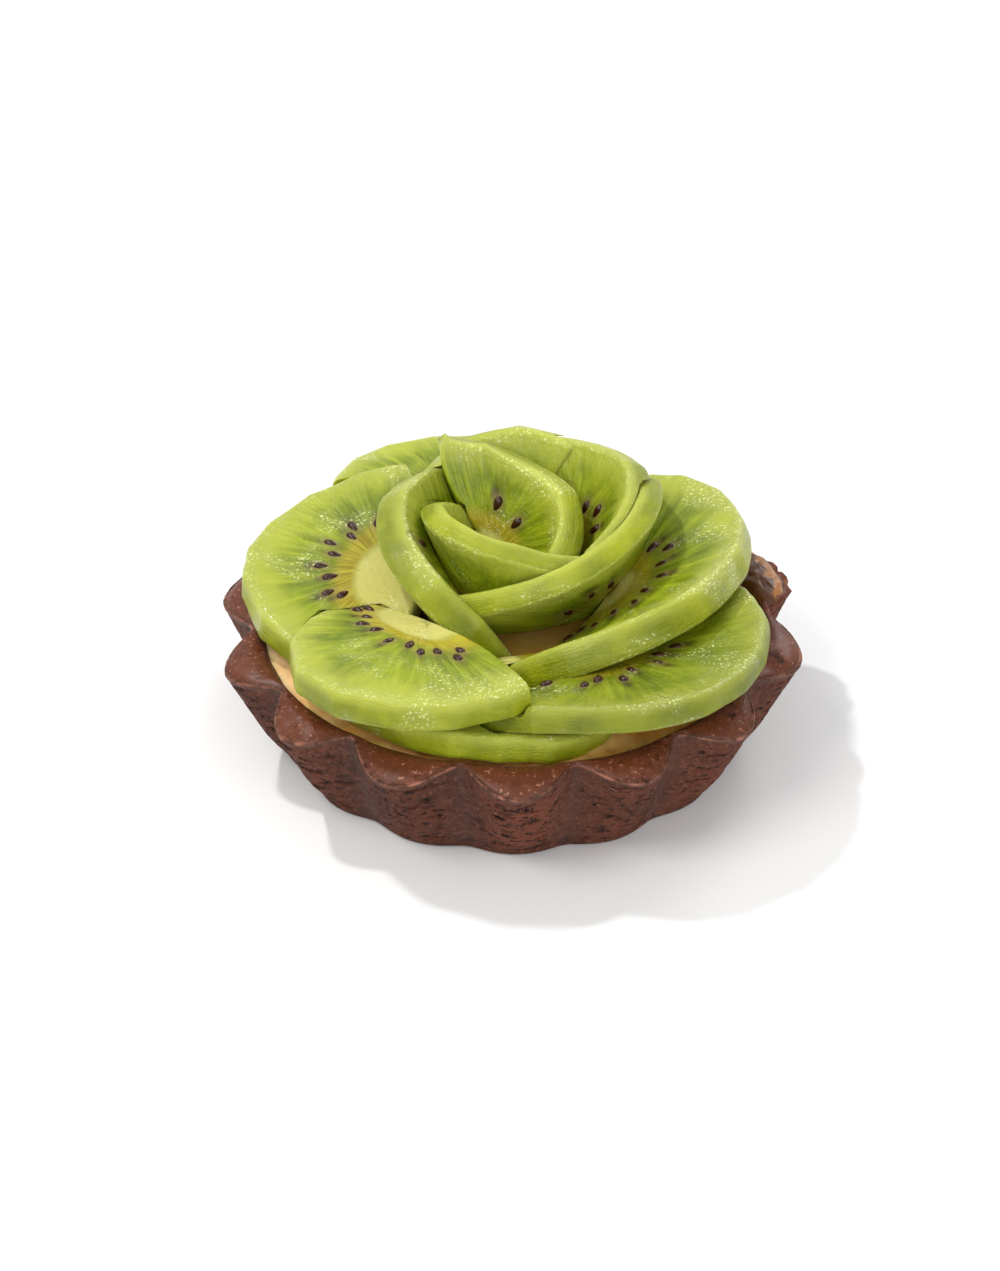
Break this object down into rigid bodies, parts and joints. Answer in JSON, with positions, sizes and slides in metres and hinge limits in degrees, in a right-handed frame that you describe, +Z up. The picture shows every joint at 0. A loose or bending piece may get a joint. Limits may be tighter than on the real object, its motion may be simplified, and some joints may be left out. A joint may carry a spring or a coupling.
{
  "type": "fruit tart",
  "caption": "Round tartlet: a fluted chocolate crust filled with light brown cream, topped with overlapping green kiwi slices that curl into a rose.",
  "frame": {"origin": "centre of the flat foot of the crust, on the surface that the tart stands on", "axes": "+Z up through the rose, -Y towards the front, where the cut edges of the front left slices point to, +X to the right"},
  "size_m": [0.085, 0.0865, 0.0373],
  "materials": {
    "crust": "baked chocolate shortcrust: dark brown, crumbly and pitted on the fluted wall, smoother and faintly shiny on the rim",
    "cream": "light brown praline cream, smooth and softly shiny",
    "kiwi": "wet translucent green fruit with pale rays, a paler rim and a yellow-white core",
    "kiwi_seed": "small dark brown glossy seeds"
  },
  "bodies": {
    "root": {"crust": "crust", "cream": "cream", "kiwi_heart": "kiwi", "kiwi_inner_left": "kiwi", "kiwi_inner_right": "kiwi", "kiwi_inner_back": "kiwi", "kiwi_middle_right": "kiwi", "kiwi_middle_back": "kiwi", "kiwi_outer_right": "kiwi", "kiwi_base_front_left": "kiwi", "kiwi_base_left": "kiwi", "kiwi_base_right": "kiwi", "kiwi_base_back_left": "kiwi", "kiwi_base_back_right": "kiwi", "kiwi_base_front": "kiwi"}
  },
  "joints": []
}
